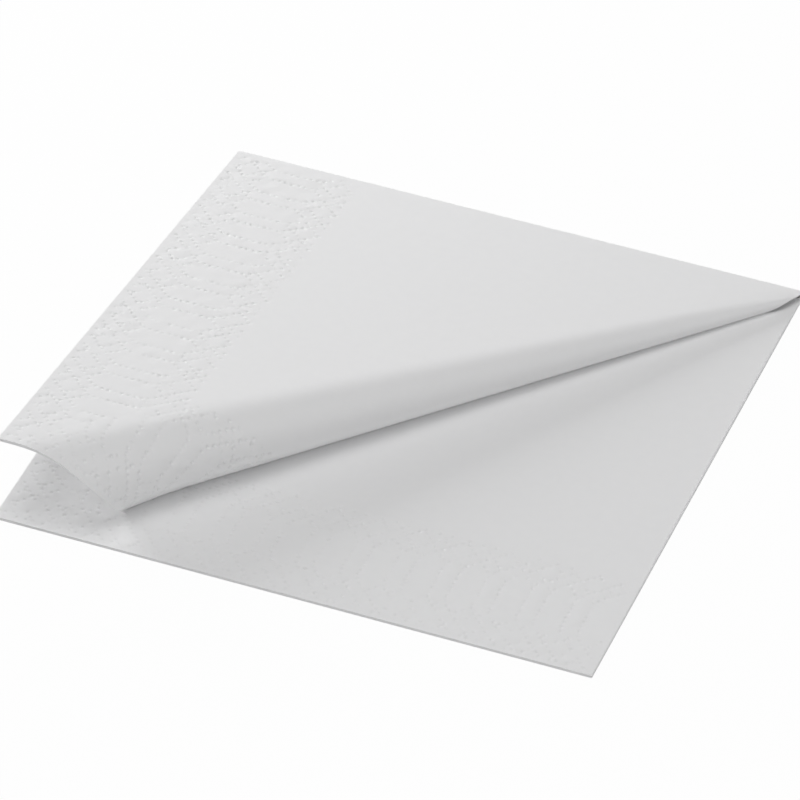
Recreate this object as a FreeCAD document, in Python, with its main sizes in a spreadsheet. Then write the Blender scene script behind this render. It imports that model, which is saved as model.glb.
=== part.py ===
import FreeCAD, Part
import Sketcher
import math
import os
from FreeCAD import Matrix, Placement, Rotation, Vector

# A square paper napkin, folded twice into four leaves, with its free upper corner rolled under.
# The first fold joins two leaves into a pair along the closed right side. The second fold, along
# the back, lays one pair on the other. The upper pair stands up from the back fold like a flap,
# and its front right corner turns under in a roll that lies on a cone.
# +X runs from the open side to the closed side, +Y from the front to the back fold, +Z up.
# The origin is the centre of the folded square on the surface that it rests on.

doc = FreeCAD.newDocument("paper_napkin")
sheet = doc.addObject("Spreadsheet::Sheet", "sizes")

# Lengths are millimetres and angles are degrees
driving_sizes = [
    ("folded_side", 165, "side of the folded square"),
    ("leaf_thick", 0.38, "one leaf: three plies of tissue"),
    ("leaf_gap", 0.1, "air between the two leaves of a pair"),
    ("back_fold_radius", 1.0, "radius of the back fold at the middle of the pair"),
    ("flap_lift", 8.2, "angle of the flap above the base"),
    ("roll_start", 45.7, "direction in the flap where the roll begins, from the back fold"),
    ("apex_beyond", 8.2, "distance of the roll's apex past the closed side"),
    ("tuck_gap", 0.13, "air between the tucked corner and the base"),
    ("roll_strips", 28, "flat strips that make up the roll"),
]
for row, (name, value, meaning) in enumerate(driving_sizes, start=1):
    sheet.set(f"A{row}", name)
    sheet.set(f"B{row}", str(value))
    sheet.setAlias(f"B{row}", name)
    sheet.set(f"C{row}", meaning)
doc.recompute()

half_thick = sheet.leaf_thick + sheet.leaf_gap / 2
half_gap = sheet.leaf_gap / 2
pair_thick = 2 * half_thick
lift = math.radians(sheet.flap_lift)

# The back fold's outside touches the back of the square, and both pairs run as far as the fold
fold_y = sheet.folded_side - half_thick - sheet.back_fold_radius
fold_z = half_thick + sheet.back_fold_radius
pair_run = fold_y

# The tucked corner lies flat, a hair above the base pair
tuck_z = pair_thick + sheet.tuck_gap + half_thick

# The flap's plane and the tucked plane meet behind the back fold, and the apex is on that line
flap_root_z = fold_z + sheet.back_fold_radius * math.cos(lift)
apex_to_root = (flap_root_z - tuck_z) / math.sin(lift)
apex_y = fold_y + sheet.back_fold_radius * math.sin(lift) + apex_to_root * math.cos(lift)
centring = Vector(-sheet.folded_side / 2, -sheet.folded_side / 2, 0)
apex = Vector(sheet.folded_side + sheet.apex_beyond, apex_y, tuck_z) + centring

# Directions in the flap: along the back fold to the open side, away from the fold, and upward
flap_across = Vector(-1, 0, 0)
flap_away = Vector(0, -math.cos(lift), math.sin(lift))
flap_up = Vector(0, math.sin(lift), math.cos(lift))

# The cone touches the flap's plane along the roll's first line and the tucked plane along its last
start_angle = math.radians(sheet.roll_start)
first_line = flap_across * math.cos(start_angle) + flap_away * math.sin(start_angle)
half_angle = math.atan(math.sin(start_angle) * math.tan(lift / 2))
cone_axis = first_line * math.cos(half_angle) - flap_up * math.sin(half_angle)
down = Vector(0, 0, -1)
from_axis_start = flap_up + cone_axis * math.sin(half_angle)
from_axis_end = down + cone_axis * math.sin(half_angle)
turn = 2 * math.pi - from_axis_start.getAngle(from_axis_end)
end_angle = start_angle + turn * math.sin(half_angle)


def turned(vector, angle):
    """Vector turned about the cone's axis, from the flap towards the tucked corner."""
    return Rotation(cone_axis, -math.degrees(angle)).multVec(vector)


def frame_at(across, away, up, origin):
    """Placement whose own X, Y and Z axes are the three directions."""
    columns = Matrix(
        across.x, away.x, up.x, origin.x,
        across.y, away.y, up.y, origin.y,
        across.z, away.z, up.z, origin.z,
        0, 0, 0, 1,
    )
    return Placement(columns)


def pair_section(name, placement):
    """Section of a pair: two leaves that one rounded fold joins at the closed side."""
    sketch = doc.addObject("Sketcher::SketchObject", name)
    closed = sheet.folded_side - half_thick
    outer_low, outer_high = Vector(0, -half_thick, 0), Vector(0, half_thick, 0)
    inner_low, inner_high = Vector(0, -half_gap, 0), Vector(0, half_gap, 0)
    reach = Vector(closed, 0, 0)
    quarter = math.pi / 2
    up = Vector(0, 0, 1)
    sketch.addGeometry([
        Part.LineSegment(outer_low, outer_low + reach),
        Part.ArcOfCircle(Part.Circle(reach, up, half_thick), -quarter, quarter),
        Part.LineSegment(outer_high + reach, outer_high),
        Part.LineSegment(outer_high, inner_high),
        Part.LineSegment(inner_high, inner_high + reach),
        Part.ArcOfCircle(Part.Circle(reach, up, half_gap), -quarter, quarter),
        Part.LineSegment(inner_low + reach, inner_low),
        Part.LineSegment(inner_low, outer_low),
    ], False)
    joined = [(0, 2, 1, 1), (1, 2, 2, 1), (2, 2, 3, 1), (3, 2, 4, 1),
              (4, 2, 5, 2), (5, 1, 6, 1), (6, 2, 7, 1), (7, 2, 0, 1), (1, 3, 5, 3)]
    for ends in joined:
        sketch.addConstraint(Sketcher.Constraint("Coincident", *ends))
    for line in (0, 2, 4, 6):
        sketch.addConstraint(Sketcher.Constraint("Horizontal", line))
    for arc in (1, 5):
        sketch.addConstraint(Sketcher.Constraint("Vertical", arc, 1, arc, 3))
    sketch.addConstraint(Sketcher.Constraint("PointOnObject", 1, 3, -1))
    for line in (2, 4, 6, 0):
        end = 1 if line in (4, 0) else 2
        sketch.addConstraint(Sketcher.Constraint("PointOnObject", line, end, -2))
    sizes = [
        ("outer_radius", Sketcher.Constraint("Radius", 1, half_thick),
         "sizes.leaf_thick + sizes.leaf_gap / 2"),
        ("inner_radius", Sketcher.Constraint("Radius", 5, half_gap), "sizes.leaf_gap / 2"),
        ("reach", Sketcher.Constraint("DistanceX", -1, 1, 1, 3, closed),
         "sizes.folded_side - sizes.leaf_thick - sizes.leaf_gap / 2"),
    ]
    for label, constraint, formula in sizes:
        index = sketch.addConstraint(constraint)
        sketch.renameConstraint(index, label)
        sketch.setExpression(f"Constraints.{label}", formula)
    sketch.Placement = placement
    return sketch


def pair_run_from(section, name):
    """A flat run of a pair, from its section for the length between fold and open edge."""
    run = doc.addObject("Part::Extrusion", name)
    run.Base = section
    run.DirMode = "Normal"
    run.Solid = True
    run.setExpression(
        "LengthFwd",
        "sizes.folded_side - sizes.leaf_thick - sizes.leaf_gap / 2 - sizes.back_fold_radius")
    return run


def beyond_line(name, line, side, up):
    """Block on one side of a line through the apex, to cut a flat run where the roll meets it."""
    block = doc.addObject("Part::Box", name)
    for size in ("Length", "Width", "Height"):
        block.setExpression(size, "sizes.folded_side * 2")
    block.Placement = frame_at(line, side, up, apex - up * sheet.folded_side)
    return block


def cut_run(run, block, name):
    """A flat run without the part that the roll takes over."""
    cut = doc.addObject("Part::Cut", name)
    cut.Base = run
    cut.Tool = block
    return cut


# The base pair runs forward from the back fold, flat on the surface
base_section = pair_section(
    "base_section",
    frame_at(Vector(1, 0, 0), Vector(0, 0, 1), Vector(0, -1, 0),
             Vector(0, fold_y, half_thick) + centring))
base_pair = pair_run_from(base_section, "base_pair")

# The back fold turns the pair over, and leaves off where the flap begins
back_fold = doc.addObject("Part::Revolution", "back_fold")
back_fold.Source = base_section
back_fold.Axis = Vector(1, 0, 0)
back_fold.Base = Vector(0, fold_y, fold_z) + centring
back_fold.Solid = True
back_fold.setExpression("Angle", "180 - sizes.flap_lift")

# The flap is flat as far as the roll's first line
open_side = sheet.folded_side + sheet.apex_beyond
flap_section = pair_section(
    "flap_section",
    frame_at(-flap_across, flap_up, flap_away,
             apex + flap_across * open_side + flap_away * apex_to_root))
first_side = flap_up.cross(first_line)
flap_flat = cut_run(
    pair_run_from(flap_section, "flap_run"),
    beyond_line("past_first_line", first_line, first_side, flap_up),
    "flap_flat")

# The tucked corner is flat from the roll's last line on, upside down over the base
last_line = turned(first_line, turn)
last_side = down.cross(last_line)
tuck_across = last_line * math.cos(end_angle) - last_side * math.sin(end_angle)
tuck_away = last_line * math.sin(end_angle) + last_side * math.cos(end_angle)
tuck_section = pair_section(
    "tuck_section",
    frame_at(-tuck_across, down, tuck_away,
             apex + tuck_across * open_side + tuck_away * apex_to_root))
tuck_flat = cut_run(
    pair_run_from(tuck_section, "tuck_run"),
    beyond_line("before_last_line", -last_side, last_line, down),
    "tuck_flat")


def roll_section(turned_by):
    """The pair's section along one straight line of the roll, from the fold to the open edge."""
    direction = start_angle + turned_by * math.sin(half_angle)
    line = turned(first_line, turned_by)
    out = turned(flap_up, turned_by)
    slant = 1 / math.cos(direction)
    fold_centre = apex + line * (sheet.apex_beyond + half_thick) * slant
    to_front = (apex_to_root + pair_run) / math.sin(direction)
    open_edge = apex + line * min(to_front, open_side * slant)

    def round_end(radius):
        across = fold_centre - line * radius * slant
        ellipse = Part.Ellipse(across, fold_centre + out * radius, fold_centre)
        return Part.ArcOfEllipse(ellipse, -math.pi / 2, math.pi / 2).toShape()

    def straight(start, start_height, end, end_height):
        return Part.makeLine(start + out * start_height, end + out * end_height)

    return Part.Wire([
        straight(open_edge, -half_thick, fold_centre, -half_thick),
        round_end(half_thick),
        straight(fold_centre, half_thick, open_edge, half_thick),
        straight(open_edge, half_thick, open_edge, half_gap),
        straight(open_edge, half_gap, fold_centre, half_gap),
        round_end(half_gap),
        straight(fold_centre, -half_gap, open_edge, -half_gap),
        straight(open_edge, -half_gap, open_edge, -half_thick),
    ])


# Between two straight lines of the roll the paper is a flat strip, evenly spaced round the cone
strip_count = int(sheet.roll_strips)
turns = [turn * step / strip_count for step in range(strip_count + 1)]
roll = doc.addObject("Part::Feature", "corner_roll")
roll.Shape = Part.makeLoft([roll_section(angle) for angle in turns], True, True)

# One sheet: every run and fold is joined to the next
napkin = doc.addObject("Part::MultiFuse", "folded_sheet")
napkin.Shapes = [base_pair, back_fold, flap_flat, roll, tuck_flat]
napkin.Label = "napkin"
doc.recompute()

for item in doc.Objects:
    if {"Invalid", "Error"} & set(item.State):
        raise RuntimeError(f"{item.Label} failed: {item.State}")

os.makedirs("parts", exist_ok=True)
for piece in [napkin]:
    if piece.Shape.isNull() or not piece.Shape.isValid():
        raise RuntimeError(f"{piece.Label} has no valid shape")
    if len(piece.Shape.Solids) != 1:
        raise RuntimeError(f"{piece.Label} is in {len(piece.Shape.Solids)} pieces")
    piece.Shape.exportStep(f"parts/{piece.Label}.step")
    print(piece.Label, round(piece.Shape.Volume, 1), "mm3", piece.Shape.BoundBox)
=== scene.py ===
import bpy
import math
import numpy as np
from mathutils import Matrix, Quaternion, Vector
from mathutils.geometry import delaunay_2d_cdt
from mathutils.kdtree import KDTree


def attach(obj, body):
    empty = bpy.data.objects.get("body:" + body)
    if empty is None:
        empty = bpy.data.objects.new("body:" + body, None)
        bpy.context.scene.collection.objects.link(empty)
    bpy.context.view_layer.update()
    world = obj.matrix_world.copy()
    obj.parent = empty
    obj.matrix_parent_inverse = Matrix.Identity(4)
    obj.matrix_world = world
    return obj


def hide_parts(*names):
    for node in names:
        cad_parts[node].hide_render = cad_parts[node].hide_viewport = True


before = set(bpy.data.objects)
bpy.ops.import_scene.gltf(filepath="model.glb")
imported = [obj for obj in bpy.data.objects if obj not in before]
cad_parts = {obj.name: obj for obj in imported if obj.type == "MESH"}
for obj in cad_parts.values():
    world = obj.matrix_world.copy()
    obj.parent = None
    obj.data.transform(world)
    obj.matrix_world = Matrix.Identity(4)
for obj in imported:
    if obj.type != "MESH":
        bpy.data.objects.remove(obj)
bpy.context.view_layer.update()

# The sheet and its folds, in metres and degrees
sheetFold = {
    "side": 0.165,           # side of the folded square
    "leaf": 0.00038,         # one leaf, three plies of tissue
    "gap": 0.0001,           # air between the two leaves of a pair
    "foldRadius": 0.001,     # back fold, at the middle of the pair
    "lift": 8.2,             # flap above the base
    "rollStart": 45.7,       # where the roll begins, from the back fold
    "apexBeyond": 0.0082,    # roll's apex past the closed side
    "tuckGap": 0.00013,      # air under the tucked corner
    # Soft forms, which the CAD doesn't have
    "flapInset": 0.001,      # the flap's open side, short of the base's
    "flare": 0.0013,         # the roll's front edge, bent outwards
    "flareReach": 0.018,
    "flareFrom": 0.3,        # where the flare begins, as a share of the way round the roll
    "flareSkew": 1.6,        # more than 1 moves its crest towards the underside
    "endDraw": 0.0075,       # the roll's narrow end, drawn in from the closed side
    "endReach": 0.03,
    "endDrawnBy": 0.8,       # where it is drawn in fully, as a share of the way round
    "endBackBy": 0.5,        # and where it is back at the closed side, in radians past the roll
    "shoulder": 0.003,       # softness of the roll's start, to each side
    "shoulderMost": 0.3,     # the most that it takes off, as a share of the roll's radius
    "shoulderEnd": 0.7,      # where it has faded out, as a share of the way round
    "slump": 0.068,          # fullness of the roll's underside, as a share of its radius
    "settle": 0.00009,       # and how much further it sinks towards the base
    "slumpFrom": 0.74,       # where it begins, as a share of the way round
    "contact": 0.00005,      # least air between the roll and the base
    "rootFade": 0.003,       # length beside the flap's root where these soft forms grow from nothing
}

half = sheetFold["leaf"] + sheetFold["gap"] / 2
halfGap = sheetFold["gap"] / 2
side = sheetFold["side"]
foldR = sheetFold["foldRadius"]
lift = math.radians(sheetFold["lift"])
run = side - half - foldR                     # flat length of each pair, fold to open edge
foldZ = half + foldR
arc = foldR * (math.pi - lift)                # sheet used up by the back fold
total = 2 * run + arc
closed = side - half                          # middle of the rounded closed side
tuckZ = 3 * half + sheetFold["tuckGap"]
apexToRoot = (foldZ + foldR * math.cos(lift) - tuckZ) / math.sin(lift)
apexSide = side + sheetFold["apexBeyond"]
apex = np.array([apexSide, run + foldR * math.sin(lift) + apexToRoot * math.cos(lift), tuckZ])

across = np.array([-1.0, 0.0, 0.0])           # along the back fold, to the open side
away = np.array([0.0, -math.cos(lift), math.sin(lift)])
flapUp = np.array([0.0, math.sin(lift), math.cos(lift)])
down = np.array([0.0, 0.0, -1.0])
startAngle = math.radians(sheetFold["rollStart"])
firstLine = across * math.cos(startAngle) + away * math.sin(startAngle)
coneHalf = math.atan(math.sin(startAngle) * math.tan(lift / 2))
coneAxis = firstLine * math.cos(coneHalf) - flapUp * math.sin(coneHalf)


def unit(v):
    return v / np.linalg.norm(v, axis=-1, keepdims=True)


def turned(v, angle):
    # v turned about the cone's axis, from the flap towards the tucked corner
    angle = -np.atleast_1d(angle)[:, None]
    return (v * np.cos(angle) + np.cross(coneAxis, v) * np.sin(angle)
            + coneAxis * (coneAxis @ v) * (1 - np.cos(angle)))


fromStart = unit(flapUp + coneAxis * math.sin(coneHalf))
fromEnd = unit(down + coneAxis * math.sin(coneHalf))
turn = 2 * math.pi - math.acos(float(fromStart @ fromEnd))
endAngle = startAngle + turn * math.sin(coneHalf)
lastLine = turned(firstLine, turn)[0]
lastSide = np.cross(down, lastLine)


def apexDistance(u, s):
    return np.hypot(apexSide - u, apexToRoot + s - run - arc)


def apexAngle(u, s):
    return np.arctan2(apexToRoot + s - run - arc, apexSide - u)


def shareAfter(first, way):
    # 0 up to first, then evenly up to 1 at the end of the way
    return np.clip((way - first) / (1 - first), 0, 1)


def rollGive(reach, angle, way, v):
    # How far soft paper stands out from a true cone: a softer start, a fuller underside and
    # a flared front edge. way runs from 0 to 1 round the roll, v is the distance from the edge.
    radius = reach * math.sin(coneHalf)
    x = np.clip((angle - startAngle) * reach / sheetFold["shoulder"], -1, 1)
    rounding = np.where(x < 0, 0.5 * (x + 1) ** 3, 1 - 0.5 * (1 - x) ** 3)
    deep = np.minimum(sheetFold["shoulder"] ** 2 / (6 * radius), sheetFold["shoulderMost"] * radius)
    fade = np.cos(0.5 * np.pi * np.clip(way / sheetFold["shoulderEnd"], 0, 1)) ** 2
    sunk = sheetFold["slump"] * radius + sheetFold["settle"]
    full = sunk * np.sin(np.pi * shareAfter(sheetFold["slumpFrom"], way)) ** 2
    flared = np.sin(np.pi * shareAfter(sheetFold["flareFrom"], way) ** sheetFold["flareSkew"])
    nearFront = np.clip(1 - v / sheetFold["flareReach"], 0, 1) ** 2
    return sheetFold["flare"] * flared * nearFront + full - deep * rounding * fade


def onSheet(u, s, w):
    # From the unfolded pair to space: u from the open side, s from the base's front edge over
    # the back fold to the flap's front edge, w from the middle of the pair, up in the base
    bend = (s - run) / foldR
    u = u + sheetFold["flapInset"] * np.clip((s - run) / arc, 0, 1) * (1 - u / closed)
    place = np.stack([u, s, half + w], 1)
    folded = np.stack([u, run + (foldR - w) * np.sin(bend), foldZ - (foldR - w) * np.cos(bend)], 1)
    inFold = (s > run) & (s <= run + arc)
    place[inFold] = folded[inFold]
    angle = apexAngle(u, s)
    flat, tucked = angle <= startAngle, angle > endAngle
    rolled = np.clip((angle - startAngle) / math.sin(coneHalf), 0, turn)
    line, up = turned(firstLine, rolled), turned(flapUp, rolled)
    flatLine = across * np.cos(angle)[:, None] + away * np.sin(angle)[:, None]
    past = (angle - endAngle)[:, None]
    tuckedLine = lastLine * np.cos(past) + lastSide * np.sin(past)
    line[flat], line[tucked] = flatLine[flat], tuckedLine[tucked]
    up[flat], up[tucked] = flapUp, down
    reach, way = apexDistance(u, s), rolled / turn
    leastCosine, leastSlope = 0.1, 0.2            # keep the two divisions below away from zero
    fromCrease = reach - (apexSide - closed) / np.maximum(np.cos(angle), leastCosine)
    nearEnd = np.clip(1 - fromCrease / sheetFold["endReach"], 0, 1) ** 2
    drawn = np.clip(way / sheetFold["endDrawnBy"], 0, 1)
    drawn = drawn * np.clip(1 - (angle - endAngle) / sheetFold["endBackBy"], 0, 1)
    reach = reach + sheetFold["endDraw"] * nearEnd * drawn
    beyondRoot = np.clip((s - run - arc) / sheetFold["rootFade"], 0, 1)
    give = rollGive(reach, angle, way, total - s) * beyondRoot
    # The roll's underside goes no lower than the base that it rests on
    above = apex[2] + line[:, 2] * reach - 2 * half - sheetFold["contact"]
    room = above / np.maximum(-up[:, 2], leastSlope) - half
    give = np.where(up[:, 2] < 0, np.minimum(give, room), give)
    stand = give - w
    raised = apex + line * reach[:, None] + up * stand[:, None]
    inFlap = s > run + arc
    place[inFlap] = raised[inFlap]
    return place - np.array([side / 2, side / 2, 0])


# Embossed border along the open edges: pairs of dotted lines straight across its middle, which
# fork at both ends into slanting lines that cross. Lengths across the border are from the edge.
emboss = {
    "sideRepeat": 0.01242,   # from pair to pair beside the open side
    "sideStart": 0.00446,
    "frontRepeat": 0.01205,  # and beside the front
    "frontStart": 0.00664,
    "pairGap": 0.0047,       # between the two lines of a pair
    "inset": 0.0012,         # first dots
    "curveSamples": 300,     # points by which a line's length is measured
    "outerFork": 0.0125,
    "innerFork": 0.0268,
    "forkWidth": 0.002,      # softness of a line's bend at its fork
    "slant": 1.0,
    "width": 0.0375,         # last dots
    "mitreClear": 0.0004,    # dots' distance from the mitre where the two borders meet
    "foldClear": 0.0022,     # from the back fold
    "closedClear": 0.0016,   # and from the closed side
    "seed": 7,
    "dotScatter": 0.00008,   # how far dots stray from their lines
    "dotStep": 0.00185,
    "dotApart": 0.00133,     # least distance between dots where lines cross
    "dotRadius": 0.00082,
    "dotDepth": 0.00014,
    "dotRim": 0.00002,       # height of the sheet pushed up round a dot
    "rimFrom": 0.6,          # where that begins, in dot radii from the dot's middle
    "rimWidth": 1.1,
    "rolledMore": 1.0,       # how much deeper dots are where the roll stretches the face
    "rolledOver": 0.05,      # radians of the roll's start over which they deepen
    "unevenness": 0.4,       # spread of the dots' depths
    "pressRange": (0.35, 1.4),       # least and most of them
    "pucker": 0.00001,       # soft waves of the sheet between the dots, each
    "puckerWaves": 14,
    "puckerLengths": (0.0035, 0.008),        # from crest to crest
    "puckerFade": 0.004,     # length beside the border's inner end where they fade out
    "raise": 0.00006,        # height of the sheet between the two lines of a pair
    "raiseEnds": 0.7,        # less than 1 makes that height's ends steeper
    "flatFolds": 0.003,      # length beside the folds where the waves and the height fade out
    "flatRim": 0.0008,       # and beside the rim, where all of the emboss does
}


def forkOf(outward):
    # How far a forked line has gone along the border, at a distance from the edge
    beyond = np.stack([emboss["outerFork"] - outward, outward - emboss["innerFork"]])
    soft = emboss["forkWidth"]
    ramp = np.where(beyond > soft, beyond, np.clip(beyond + soft, 0, 2 * soft) ** 2 / (4 * soft))
    return emboss["slant"] * ramp.sum(axis=0)


def dotsAlong(outward, along):
    # Evenly spaced points on a curve given by close samples
    length = np.concatenate([[0], np.cumsum(np.hypot(np.diff(outward), np.diff(along)))])
    count = max(2, int(round(length[-1] / emboss["dotStep"])))
    at = (np.arange(count) + 0.5) / count * length[-1]
    return np.stack([np.interp(at, length, outward), np.interp(at, length, along)], 1)


def borderDots(repeat, first, reach):
    # Dots of the border beside one edge, up to the mitre where the two borders meet
    outward = np.linspace(emboss["inset"], emboss["width"], emboss["curveSamples"])
    curves = []
    before, after = 2, 4                          # pairs past the corners, whose forks reach in
    for k in range(-before, int(side / repeat) + after):
        for start in (first + k * repeat, first + k * repeat + emboss["pairGap"]):
            curves.append(dotsAlong(outward, start + forkOf(outward)))
            curves.append(dotsAlong(outward, start - forkOf(outward)))
    band = np.concatenate(curves)
    return band[(band[:, 1] > band[:, 0] + emboss["mitreClear"]) & (band[:, 1] < reach)]


def treeOf(points):
    tree = KDTree(len(points))
    for i, (a, b) in enumerate(points):
        tree.insert((a, b, 0), i)
    tree.balance()
    return tree


def thinned(points, least):
    # Leaves out each point that lies nearer than least to one kept before it
    tree = treeOf(points)
    dropped = set()
    for i, (a, b) in enumerate(points):
        if i not in dropped:
            dropped.update(j for _, j, _ in tree.find_range((a, b, 0), least) if j > i)
    return points[[i for i in range(len(points)) if i not in dropped]]


sideDots = borderDots(emboss["sideRepeat"], emboss["sideStart"], run - emboss["foldClear"])
frontDots = borderDots(emboss["frontRepeat"], emboss["frontStart"], closed - emboss["closedClear"])
dots = thinned(np.concatenate([sideDots, frontDots[:, ::-1]]), emboss["dotApart"])
scatter = np.random.default_rng(emboss["seed"])
dots += scatter.normal(0, emboss["dotScatter"], dots.shape)
dotStrength = np.clip(scatter.normal(1, emboss["unevenness"], len(dots)), *emboss["pressRange"])
waveHeading = scatter.uniform(0, np.pi, emboss["puckerWaves"])
waveNumber = 2 * np.pi / scatter.uniform(*emboss["puckerLengths"], emboss["puckerWaves"])
wavePhase = scatter.uniform(0, 2 * np.pi, emboss["puckerWaves"])
dotTree = treeOf(dots)
print(len(dots), "embossed dots on each face")


def fromEdge(s):
    # Distance from a leaf's own open front edge
    return np.where(s <= run + arc / 2, s, total - s)


def nearestDot(u, s):
    # Index of the nearest dot and the distance to it
    found = [dotTree.find((a, b, 0)) for a, b in zip(u, fromEdge(s))]
    return np.array([f[1] for f in found]), np.array([f[2] for f in found])


def fromDot(u, s, nearest):
    # Distance from the middle of the nearest dot, as a share of its radius
    return np.hypot(u - dots[nearest, 0], fromEdge(s) - dots[nearest, 1]) / emboss["dotRadius"]


def pitShape(gone):
    return 0.5 * (1 + np.cos(np.pi * np.clip(gone, 0, 1)))


def dotPress(u, s, nearest):
    # How hard each dot is pressed: unevenly, and more where the roll stretches the face
    intoRoll = np.clip((apexAngle(u, s) - startAngle) / emboss["rolledOver"], 0, 1)
    return dotStrength[nearest] * (1 + emboss["rolledMore"] * intoRoll * (s > run + arc))


def relief(u, s, w, nearest):
    # How far the emboss lifts an outer face from the plain sheet
    v = fromEdge(s)
    besideOpen = v > u
    outward, along = np.where(besideOpen, u, v), np.where(besideOpen, v, u)
    repeat = np.where(besideOpen, emboss["sideRepeat"], emboss["frontRepeat"])
    past = along - np.where(besideOpen, emboss["sideStart"], emboss["frontStart"])
    inPair = np.clip(past % repeat / emboss["pairGap"], 0, 1)
    middle = (outward - emboss["outerFork"]) / (emboss["innerFork"] - emboss["outerFork"])
    swell = np.sin(np.pi * inPair) * np.sin(np.pi * np.clip(middle, 0, 1)) ** emboss["raiseEnds"]
    headed = np.outer(np.cos(waveHeading), u) + np.outer(np.sin(waveHeading), v)
    waves = np.sin(waveNumber[:, None] * headed + wavePhase[:, None])
    inBorder = np.clip((emboss["width"] - outward) / emboss["puckerFade"], 0, 1)
    underside = (w < 0) & (s < run + arc)
    soft = emboss["raise"] * swell + emboss["pucker"] * waves.sum(axis=0) * inBorder
    offFolds = np.clip(np.minimum(closed - u, run - v) / emboss["flatFolds"], 0, 1)
    pillow = np.where(underside, 0, soft) * offFolds
    gone = fromDot(u, s, nearest)
    pit = emboss["dotDepth"] * pitShape(gone)
    ring = np.clip((gone - emboss["rimFrom"]) / emboss["rimWidth"], 0, 1)
    rim = emboss["dotRim"] * np.sin(np.pi * ring) ** 2 * ~underside
    return pillow + dotPress(u, s, nearest) * (rim - pit)


# Steps of the mesh and distances that its inner points keep, in metres
mesh = {
    "plain": 0.006,
    "border": 0.0016,
    "pastBorder": 0.003,     # how far the border's finer step goes on past it
    "edge": 0.0022,
    "rollStrips": 44,
    "startStrips": (0.06, 0.04, 0.028, 0.02, 0.013, 0.0065),      # before the roll, in radians
    "foldRows": 8,
    "tubeRows": 8,           # round the closed side
    "rollFirst": 0.0006,     # along the roll's lines: first, shortest and longest step
    "rollShortest": 0.0008,
    "rollLongest": 0.005,
    "rollGrowth": 0.06,      # step added for each metre from the narrow end
    "creaseClear": 0.0003,   # the roll's points from the closed side and from the front
    "frontClear": 0.0005,
    "openClear": 0.002,      # points before the roll from the open edges,
    "closedClear": 0.001,    # the closed side
    "foldClear": 0.0008,     # and the back fold
    "rollClear": 0.0006,     # the grid from the roll
    "gridClear": 1.15,       # and from a dot's middle, in dot radii
    "lineClear": 1.02,       # the roll's lines from a dot's middle, the same way
    "seenRings": ((0.5, 5), (1.0, 6)),       # vertices of a dot: share of its radius, count
    "hiddenRings": ((0.9, 4),),
    "closest": 1e-7,         # points nearer than this are one
    "places": 7,             # decimal places by which vertices are told apart
}


def between(low, high, step):
    return np.linspace(low, high, max(1, math.ceil((high - low) / step)) + 1)


def grid(us, ss):
    u, s = np.meshgrid(us, ss)
    return np.stack([u.ravel(), s.ravel()], 1)


shoulderAngles = startAngle - np.array(mesh["startStrips"])
rollAngles = np.linspace(startAngle, endAngle, mesh["rollStrips"] + 1)
creaseReach = (apexSide - closed) / np.cos(rollAngles)
frontReach = (apexToRoot + run) / np.sin(rollAngles)


def rollPoint(reach, angle):
    # A point of the unfolded pair by its distance and direction from the roll's apex
    return apexSide - reach * np.cos(angle), reach * np.sin(angle) - apexToRoot + run + arc


# Rows of vertices that all faces share on the rim
foldRows = np.linspace(run, run + arc, mesh["foldRows"] + 1)
rollAtCrease = rollPoint(creaseReach, rollAngles)[1]
rollAtFront = rollPoint(frontReach, rollAngles)[0]
openRows = np.concatenate([between(0, run, mesh["edge"])[:-1], foldRows,
                           between(run + arc, total, mesh["edge"])[1:]])
creaseRows = np.concatenate([between(0, run, mesh["plain"])[:-1], foldRows[:-1],
                             between(run + arc, rollAtCrease[0], mesh["plain"])[:-1], rollAtCrease[:-1],
                             between(rollAtCrease[-1], total, mesh["plain"])])
baseFront = between(0, closed, mesh["edge"])
flapFront = np.concatenate([between(0, rollAtFront[0], mesh["edge"])[:-1], rollAtFront[:-1],
                            between(rollAtFront[-1], closed, mesh["plain"])])


def rollLines():
    # Points along the roll's straight lines, finer towards its narrow end, and along lines just
    # before the roll that stay clear of the rim
    levels = [creaseReach[0] + mesh["rollFirst"]]
    while levels[-1] < frontReach.max():
        step = mesh["rollShortest"] + mesh["rollGrowth"] * (levels[-1] - levels[0])
        levels.append(levels[-1] + min(mesh["rollLongest"], step))
    levels = np.array(levels)
    lines = []
    for angle, near, far in zip(rollAngles, creaseReach, frontReach):
        inside = levels[(levels > near + mesh["creaseClear"]) & (levels < far - mesh["frontClear"])]
        lines.append(np.stack(rollPoint(np.concatenate([[near], inside, [far]]), angle), 1))
    for angle in shoulderAngles:
        line = np.stack(rollPoint(levels, angle), 1)
        u, v = line[:, 0], total - line[:, 1]
        inside = (np.minimum(u, v) > mesh["openClear"]) & (u < closed - mesh["closedClear"])
        lines.append(line[inside & (v < run - mesh["foldClear"])])
    return lines


def dotRings(rings, raised):
    # A dot's middle and rings, on the base or on the flap
    points = [dots]
    for share, count in rings:
        around = 2 * np.pi * (np.arange(count) + 0.5 * (share == 1.0)) / count
        for a in around:
            points.append(dots + share * emboss["dotRadius"] * np.array([np.cos(a), np.sin(a)]))
    points = np.concatenate(points)
    return np.stack([points[:, 0], total - points[:, 1]], 1) if raised else points


def clearOfRoll(points):
    # Points outside the roll and its rim
    angle, reach = apexAngle(*points.T), apexDistance(*points.T)
    margin = mesh["rollClear"] / reach
    inside = (angle > shoulderAngles[0] - margin) & (angle < endAngle + margin)
    return points[(points[:, 1] <= run + arc) | ~inside]


def innerGrid(step):
    # Points of one leaf without those on its rim
    return grid(between(0, closed, step)[1:-1], between(0, run, step)[1:-1])


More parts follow.
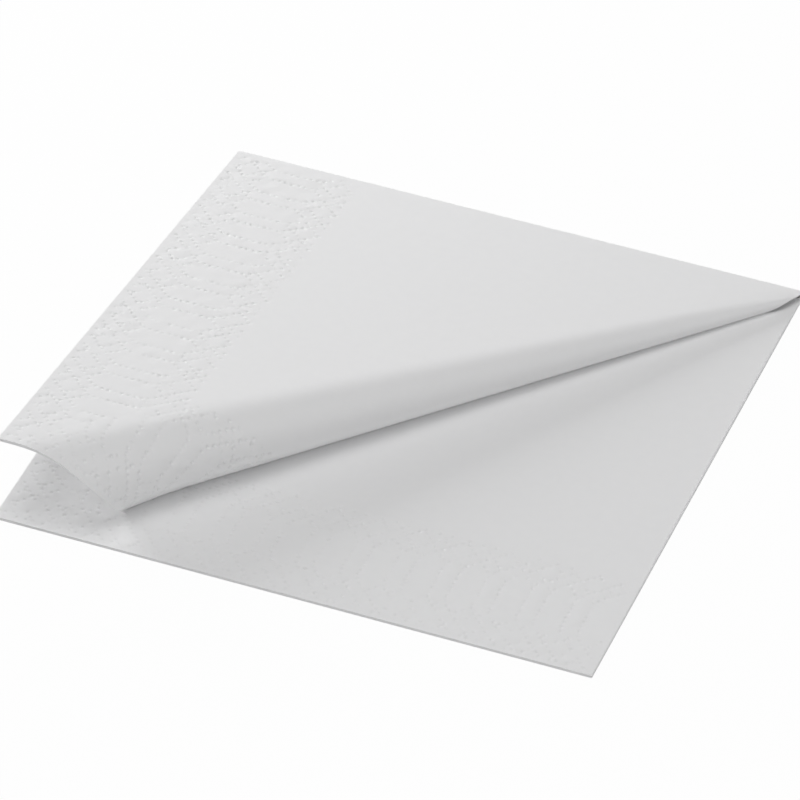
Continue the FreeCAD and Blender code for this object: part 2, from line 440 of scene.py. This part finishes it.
def facePoints(baseRings, flapRings):
    # Points of one face of the pair, and the edges that its triangles have to keep
    parts = [grid([0], openRows), grid([closed], creaseRows), grid(baseFront, [0]),
             grid(flapFront, [total])]
    border = emboss["width"] + mesh["pastBorder"]
    for raised, rings in ((False, baseRings), (True, flapRings)):
        inner = innerGrid(mesh["plain"])
        if rings:
            parts.append(dotRings(rings, raised))
            inner = inner[inner.min(axis=1) > border]
            fine = innerGrid(mesh["border"])
            fine = fine[fine.min(axis=1) <= border]
            clear = nearestDot(*fine.T)[1] > mesh["gridClear"] * emboss["dotRadius"]
            inner = np.concatenate([inner, fine[clear]])
        if raised:
            inner = clearOfRoll(np.stack([inner[:, 0], total - inner[:, 1]], 1))
        parts.append(inner)
    offset = sum(len(p) for p in parts)
    edges = []
    foldLines = [grid(between(0, closed, mesh["plain"]), [s]) for s in foldRows]
    for line in foldLines + rollLines():
        kept = np.ones(len(line), bool)
        inBorder = np.zeros(len(line), bool)
        if flapRings and line[-1, 1] > run + arc:
            kept[1:-1] = nearestDot(*line.T)[1][1:-1] > mesh["lineClear"] * emboss["dotRadius"]
            inBorder = fromEdge(line[:, 1]) < border
        index = offset + np.cumsum(kept) - 1
        for i in range(len(line) - 1):
            if kept[i] and kept[i + 1] and not (inBorder[i] and inBorder[i + 1]):
                edges.append((int(index[i]), int(index[i + 1])))
        parts.append(line[kept])
        offset += int(kept.sum())
    return np.concatenate(parts), edges


def triangulated(points, edges):
    flat = [Vector((float(a), float(b))) for a, b in points]
    wholeHull = 0                                 # kind of result: every triangle of the hull
    verts, _, faces, origins, _, _ = delaunay_2d_cdt(flat, edges, [], wholeHull, mesh["closest"])
    exact = [points[o[0]] if o else v for v, o in zip(verts, origins)]
    return [(float(a), float(b)) for a, b in exact], faces


class PairMesh:
    # Gathers vertices by their place on the unfolded pair, so that its faces share them
    def __init__(self):
        self.index = {}
        self.flat = []
        self.faces = []
        self.smooth = []

    def vertex(self, u, s, w, normal):
        # normal is given in the pair's own directions u and w
        key = tuple(round(c, mesh["places"]) for c in (u, s, w))
        if key not in self.index:
            self.index[key] = len(self.flat)
            self.flat.append((u, s, w, *normal))
        return self.index[key]

    def addFace(self, points, edges, w, upward):
        verts, triangles = triangulated(points, edges)
        ids = [self.vertex(u, s, w, (0, 1 if upward else -1)) for u, s in verts]
        for a, b, c in triangles:
            ring = (ids[a], ids[b], ids[c])
            self.addRing(ring if upward else ring[::-1], True)

    def addStrip(self, low, high, smooth):
        for ring in zip(low[:-1], low[1:], high[1:], high[:-1]):
            self.addRing(ring, smooth)

    def addRing(self, ring, smooth):
        ring = tuple(dict.fromkeys(ring))
        if len(ring) > 2:
            self.faces.append(ring)
            self.smooth.append(smooth)


def pairRows(sheet, rim, w):
    return [sheet.vertex(u, s, w, (0, 1)) for u, s in rim]


def buildSheet():
    sheet = PairMesh()
    sheet.addFace(*facePoints(mesh["seenRings"], mesh["hiddenRings"]), half, True)
    sheet.addFace(*facePoints(mesh["hiddenRings"], mesh["seenRings"]), -half, False)
    plain = facePoints((), ())
    sheet.addFace(*plain, halfGap, False)
    sheet.addFace(*plain, -halfGap, True)
    rims = ([(0, s) for s in openRows[::-1]], [(u, 0) for u in baseFront],
            [(u, total) for u in flapFront[::-1]])
    for low, high in ((-half, -halfGap), (halfGap, half)):
        for rim in rims:
            sheet.addStrip(pairRows(sheet, rim, low), pairRows(sheet, rim, high), False)
    halfTurn = np.linspace(-np.pi / 2, np.pi / 2, mesh["tubeRows"] + 1)
    for radius, outward in ((half, 1), (halfGap, -1)):
        rows = []
        for a in halfTurn:
            normal = (outward * np.cos(a), outward * np.sin(a))
            rows.append([sheet.vertex(closed + radius * np.cos(a), s, radius * np.sin(a), normal)
                         for s in creaseRows])
        for low, high in zip(rows[:-1], rows[1:]):
            sheet.addStrip(*((low, high) if outward > 0 else (high, low)), True)
    # The two ends of the closed side, between the outer and the inner round
    for s, flip in ((0.0, False), (total, True)):
        ends = []
        for radius in (halfGap, half):
            ends.append([sheet.vertex(closed + radius * np.cos(a), s, radius * np.sin(a), (0, 1))
                         for a in halfTurn])
        sheet.addStrip(*(ends if flip else ends[::-1]), False)
    return sheet


def outerFace(u, w):
    # Which points lie on an outer flat face, and not inside the pair or round the closed side
    return (np.abs(w) > (half + halfGap) / 2) & (u < closed)


def shaped(u, s, w, nearest):
    outward = np.sign(w) * outerFace(u, w)
    fromRim = np.minimum(np.minimum(u, s), total - s)
    lifted = relief(u, s, w, nearest) * outward * np.clip(fromRim / emboss["flatRim"], 0, 1)
    return onSheet(u, s, w + lifted)


def napkinMesh():
    sheet = buildSheet()
    u, s, w, outU, outW = np.array(sheet.flat).T
    nearest, _ = nearestDot(u, s)
    step = 2e-6                                   # half the length over which slopes are taken
    alongU = shaped(u + step, s, w, nearest) - shaped(u - step, s, w, nearest)
    alongS = shaped(u, s + step, w, nearest) - shaped(u, s - step, w, nearest)
    upward = unit(np.cross(alongU, alongS))
    normals = unit(unit(alongU) * outU[:, None] + upward * outW[:, None])
    data = bpy.data.meshes.new("napkin")
    data.from_pydata(shaped(u, s, w, nearest).tolist(), [], sheet.faces)
    flatMap = data.uv_layers.new(name="flatSheet")
    loopVerts = [i for face in sheet.faces for i in face]
    flatMap.data.foreach_set("uv", np.stack([u, s], 1)[loopVerts].ravel())
    data.shade_smooth()
    corner = []
    for polygon, smooth in zip(data.polygons, sheet.smooth):
        for i in polygon.vertices:
            corner.append(tuple(normals[i]) if smooth else tuple(polygon.normal))
    data.normals_split_custom_set(corner)
    # Painted shade in the dots' pits, stronger where they are pressed deeper: partly for the plies
    # pressed together there, partly for shade that the small pits don't cast
    pressedAndPitShade = data.attributes.new("pressedAndPitShade", "FLOAT", "POINT")
    pitShadeStrength = dotPress(u, s, nearest) / (dotStrength.max() * (1 + emboss["rolledMore"]))
    pressedAndPitShade.data.foreach_set("value", pitShadeStrength * pitShape(fromDot(u, s, nearest)) * outerFace(u, w))
    print(len(data.vertices), "vertices,", sum(len(f) - 2 for f in sheet.faces), "triangles")
    return data


# Tissue: matte off-white with the crepe's fine grain, and painted shade in the dots' pits
tissueLook = {
    "colour": (0.915, 0.915, 0.918, 1),
    "shade": (0.89, 0.89, 0.895, 1),
    "pressedAndPitShade": (0.825, 0.825, 0.83, 1),      # painted shade in the dots' pits, darkest where they are pressed deepest, partly for the plies pressed together there
    "roughness": 0.95,
    "sheen": 0.12,
    "specular": 0.2,
    "mottle": (350, 4),      # each pattern's scale to a metre, and its detail
    "crepe": (900, 3),
    "fibre": (4200, 2),
    "crepeStretch": 0.35,    # less than 1 draws the crepe out along the open edge
    "crepeDepth": 0.000012,
    "fibreDepth": 0.000006,
}


def noiseOf(nodes, link, place, scaleAndDetail):
    noise = nodes.new("ShaderNodeTexNoise")
    noise.inputs["Scale"].default_value, noise.inputs["Detail"].default_value = scaleAndDetail
    link(place, noise.inputs["Vector"])
    return noise.outputs["Fac"]


def bumpOf(nodes, link, height, depth):
    bump = nodes.new("ShaderNodeBump")
    bump.inputs["Distance"].default_value = depth
    link(height, bump.inputs["Height"])
    return bump


def tissueMaterial():
    material = bpy.data.materials.new("tissue")
    material.use_nodes = True
    nodes, link = material.node_tree.nodes, material.node_tree.links.new
    shader = nodes["Principled BSDF"]
    shader.inputs["Roughness"].default_value = tissueLook["roughness"]
    shader.inputs["Sheen Weight"].default_value = tissueLook["sheen"]
    shader.inputs["Specular IOR Level"].default_value = tissueLook["specular"]
    flat = nodes.new("ShaderNodeUVMap")
    flat.uv_map = "flatSheet"
    mottle = noiseOf(nodes, link, flat.outputs["UV"], tissueLook["mottle"])
    colour = nodes.new("ShaderNodeMix")
    colour.data_type = "RGBA"
    colour.inputs["A"].default_value = tissueLook["shade"]
    colour.inputs["B"].default_value = tissueLook["colour"]
    link(mottle, colour.inputs["Factor"])
    # Painted shade: the base colour darkens in the dots' pits, partly for the plies pressed together
    # there
    pressedAndPitShade = nodes.new("ShaderNodeAttribute")
    pressedAndPitShade.attribute_name = "pressedAndPitShade"
    dimmed = nodes.new("ShaderNodeMix")
    dimmed.data_type = "RGBA"
    dimmed.inputs["B"].default_value = tissueLook["pressedAndPitShade"]
    link(pressedAndPitShade.outputs["Fac"], dimmed.inputs["Factor"])
    link(colour.outputs["Result"], dimmed.inputs["A"])
    link(dimmed.outputs["Result"], shader.inputs["Base Color"])
    stretch = nodes.new("ShaderNodeMapping")
    stretch.inputs["Scale"].default_value = (tissueLook["crepeStretch"], 1, 1)
    link(flat.outputs["UV"], stretch.inputs["Vector"])
    crepe = noiseOf(nodes, link, stretch.outputs["Vector"], tissueLook["crepe"])
    fibre = noiseOf(nodes, link, flat.outputs["UV"], tissueLook["fibre"])
    crepeBump = bumpOf(nodes, link, crepe, tissueLook["crepeDepth"])
    fibreBump = bumpOf(nodes, link, fibre, tissueLook["fibreDepth"])
    link(crepeBump.outputs["Normal"], fibreBump.inputs["Normal"])
    link(fibreBump.outputs["Normal"], shader.inputs["Normal"])
    return material


napkin = bpy.data.objects.new("napkinSheet", napkinMesh())
bpy.context.collection.objects.link(napkin)
napkin.data.materials.append(tissueMaterial())
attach(napkin, "root")
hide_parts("napkin")
print("napkin built")

# White studio: floor, soft lamps from the back left, above and the front, light all round
studio = {
    "floorReach": 6,          # from the middle to each side
    "floorColour": (0.92, 0.92, 0.92, 1),
    "floorWhite": 0.965,      # share of plain white that the camera sees of the floor
    "fill": 0.21,             # light from all round
    "backLamp": ((-0.641, 0.449, 0.166), 5.2, 0.55),      # place, power, size
    "topLamp": ((0, 0, 1.6), 9.4, 1.1),
    "frontLamp": ((0.474, -1.302, 0.8), 5.1, 1.4),
}


def seenRays(nodes, link):
    # 1 for rays from the camera, from a gloss or through something clear
    rays = nodes.new("ShaderNodeLightPath")
    seen = rays.outputs["Is Camera Ray"]
    for name in ("Is Glossy Ray", "Is Transmission Ray"):
        larger = nodes.new("ShaderNodeMath")
        larger.operation = "MAXIMUM"
        link(seen, larger.inputs[0])
        link(rays.outputs[name], larger.inputs[1])
        seen = larger.outputs[0]
    return seen


def paleFloor():
    reach = studio["floorReach"]
    rim = [(-reach, -reach, 0), (reach, -reach, 0), (reach, reach, 0), (-reach, reach, 0)]
    data = bpy.data.meshes.new("floor")
    data.from_pydata(rim, [], [(0, 1, 2, 3)])
    floor = bpy.data.objects.new("floor", data)
    bpy.context.collection.objects.link(floor)
    material = bpy.data.materials.new("paleFloor")
    material.use_nodes = True
    nodes, link = material.node_tree.nodes, material.node_tree.links.new
    shader = nodes["Principled BSDF"]
    shader.inputs["Base Color"].default_value = studio["floorColour"]
    shader.inputs["Roughness"].default_value = 1
    white = nodes.new("ShaderNodeEmission")
    share = nodes.new("ShaderNodeMath")
    share.operation = "MULTIPLY"
    share.inputs[1].default_value = studio["floorWhite"]
    link(seenRays(nodes, link), share.inputs[0])
    mixed = nodes.new("ShaderNodeMixShader")
    link(share.outputs[0], mixed.inputs["Fac"])
    link(shader.outputs["BSDF"], mixed.inputs[1])
    link(white.outputs["Emission"], mixed.inputs[2])
    link(mixed.outputs["Shader"], nodes["Material Output"].inputs["Surface"])
    data.materials.append(material)
    return floor


def whiteWorld():
    world = bpy.data.worlds.new("studio")
    world.use_nodes = True
    nodes, link = world.node_tree.nodes, world.node_tree.links.new
    background = nodes["Background"]
    background.inputs["Color"].default_value = (1, 1, 1, 1)
    strength = nodes.new("ShaderNodeMix")
    strength.inputs["A"].default_value = studio["fill"]
    strength.inputs["B"].default_value = 1
    link(seenRays(nodes, link), strength.inputs["Factor"])
    link(strength.outputs["Result"], background.inputs["Strength"])
    bpy.context.scene.world = world


def softLamp(name):
    place, power, size = studio[name]
    data = bpy.data.lights.new(name, "AREA")
    data.energy, data.size = power, size
    lamp = bpy.data.objects.new(name, data)
    lamp.location = place
    lamp.rotation_mode = "QUATERNION"
    lamp.rotation_quaternion = (-Vector(place)).to_track_quat("-Z", "Y")
    bpy.context.collection.objects.link(lamp)


paleFloor()
whiteWorld()
for lampName in ("backLamp", "topLamp", "frontLamp"):
    softLamp(lampName)
print("studio lit")

# Camera at the photograph's angle, far off with a long lens
view = {
    "place": (0.5195, -1.3638, 1.2178),
    "aim": (-0.0026, 0.0016, 0),
    "lens": 324,
    "roll": 0.71,            # tilt about the line of sight, in degrees
    "farthest": 100,         # distance to which the camera sees
}

camera = bpy.data.objects.new("camera", bpy.data.cameras.new("camera"))
camera.data.lens = view["lens"]
camera.data.clip_end = view["farthest"]
camera.location = view["place"]
camera.rotation_mode = "QUATERNION"
sight = (Vector(view["aim"]) - Vector(view["place"])).to_track_quat("-Z", "Y")
camera.rotation_quaternion = sight @ Quaternion((0, 0, 1), math.radians(view["roll"]))
bpy.context.collection.objects.link(camera)
bpy.context.scene.camera = camera
bpy.context.scene.view_settings.view_transform = "Standard"
